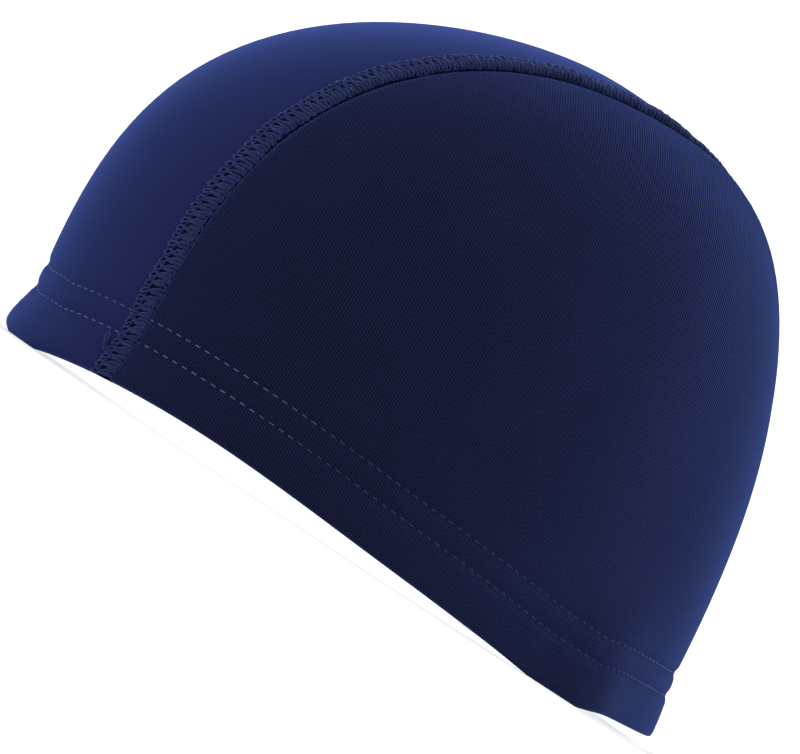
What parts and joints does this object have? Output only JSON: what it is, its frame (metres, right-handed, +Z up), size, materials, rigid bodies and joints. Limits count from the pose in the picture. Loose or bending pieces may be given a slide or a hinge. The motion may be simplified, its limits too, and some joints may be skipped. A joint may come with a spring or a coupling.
{
  "type": "swim cap",
  "caption": "Knitted fabric swim cap with a centre panel, side panels, raised overlock seams and a stitched turned-up hem, standing open on its rim.",
  "frame": {"origin": "on the surface the cap rests on, under the middle of its length and width", "axes": "+Z up out of the crown, -Y towards the forehead, +X towards the wearer's left ear"},
  "size_m": [0.1536, 0.2109, 0.1408],
  "materials": {
    "side_knit": "matt navy warp knit with fine ribs that run from rim to crown",
    "centre_knit": "matt navy warp knit with a soft sheen where it turns away",
    "seam_thread": "navy textured nylon thread, slightly lighter than the cloth"
  },
  "bodies": {
    "root": {"centre_panel": "centre_knit", "left_panel": "side_knit", "right_panel": "side_knit", "left_seam": "seam_thread", "right_seam": "seam_thread"}
  },
  "joints": []
}
